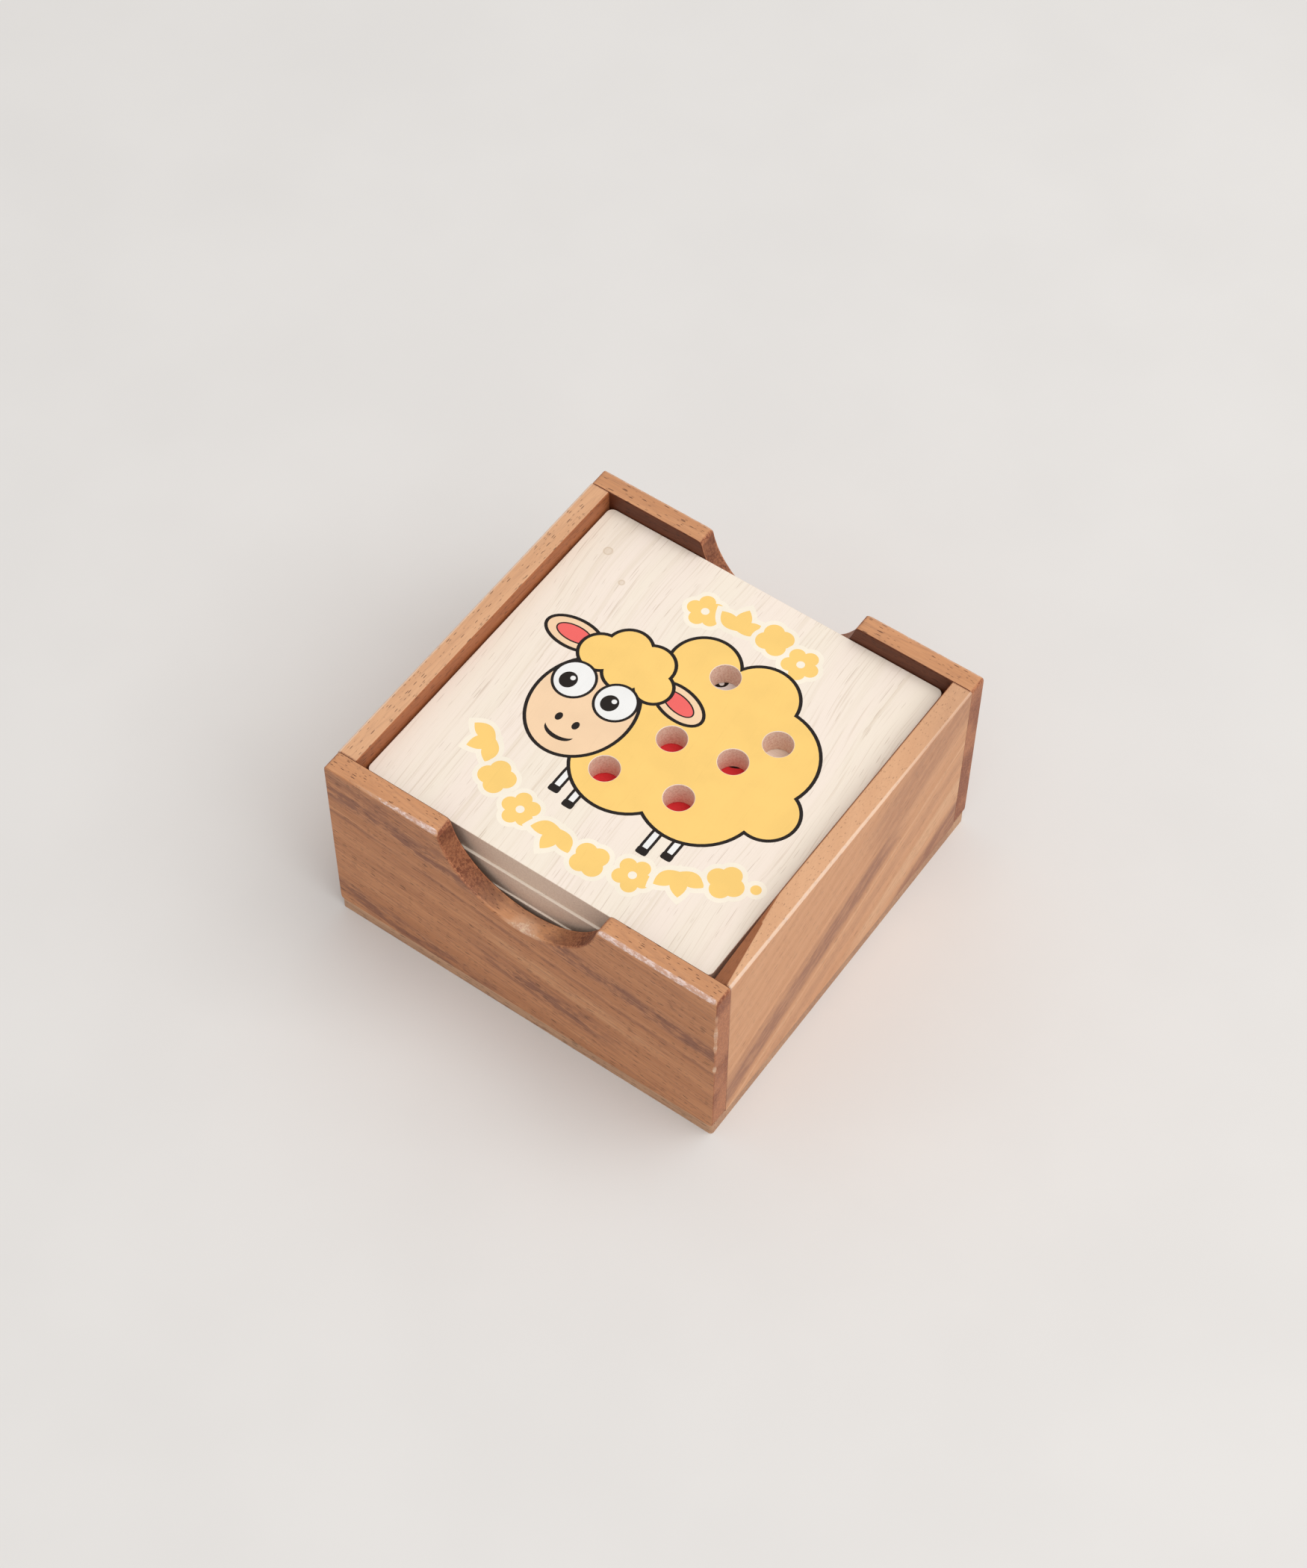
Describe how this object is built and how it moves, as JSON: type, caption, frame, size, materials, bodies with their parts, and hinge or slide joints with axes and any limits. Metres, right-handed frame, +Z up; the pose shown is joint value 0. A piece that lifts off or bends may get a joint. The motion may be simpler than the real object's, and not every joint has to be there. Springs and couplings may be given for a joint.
{
  "type": "stacking board puzzle",
  "caption": "Stack of square wooden puzzle boards with round sight holes and a printed sheep, kept in an open square wooden tray with finger notches.",
  "frame": {"origin": "middle of the tray's underside, on the surface that it stands on", "axes": "+Z up and out of the tray; the finger notches are in the walls at -Y (front) and +Y (back); +X to the right when facing the front notch"},
  "size_m": [0.1, 0.1, 0.0535],
  "materials": {
    "wall_wood": "mid-brown open-pored hardwood, oiled satin, worn pale along the rim's outer edges",
    "base_wood": "lighter beige-brown wood, sanded satin",
    "board_wood": "raw pale fine-grained wood, screen-printed on its upper face"
  },
  "bodies": {
    "tray": {"base_panel": "base_wood", "front_wall": "wall_wood", "back_wall": "wall_wood", "left_wall": "wall_wood", "right_wall": "wall_wood"},
    "board_1": {"puzzle_board_1": "board_wood"},
    "board_2": {"puzzle_board_2": "board_wood"},
    "board_3": {"puzzle_board_3": "board_wood"},
    "board_4": {"puzzle_board_4": "board_wood"},
    "board_5": {"puzzle_board_5": "board_wood"},
    "board_6": {"puzzle_board_6": "board_wood"},
    "board_7": {"puzzle_board_7": "board_wood"}
  },
  "joints": [
    {"name": "board_7_lift", "type": "slide", "parent": "tray", "child": "board_7", "axis": [0, 0, 1], "range_m": [0, 0.054]},
    {"name": "board_6_lift", "type": "slide", "parent": "board_7", "child": "board_6", "axis": [0, 0, 1], "range_m": [0, 0.0475]},
    {"name": "board_5_lift", "type": "slide", "parent": "board_6", "child": "board_5", "axis": [0, 0, 1], "range_m": [0, 0.041]},
    {"name": "board_4_lift", "type": "slide", "parent": "board_5", "child": "board_4", "axis": [0, 0, 1], "range_m": [0, 0.0345]},
    {"name": "board_3_lift", "type": "slide", "parent": "board_4", "child": "board_3", "axis": [0, 0, 1], "range_m": [0, 0.028]},
    {"name": "board_2_lift", "type": "slide", "parent": "board_3", "child": "board_2", "axis": [0, 0, 1], "range_m": [0, 0.0215]},
    {"name": "board_1_lift", "type": "slide", "parent": "board_2", "child": "board_1", "axis": [0, 0, 1], "range_m": [0, 0.015]}
  ]
}
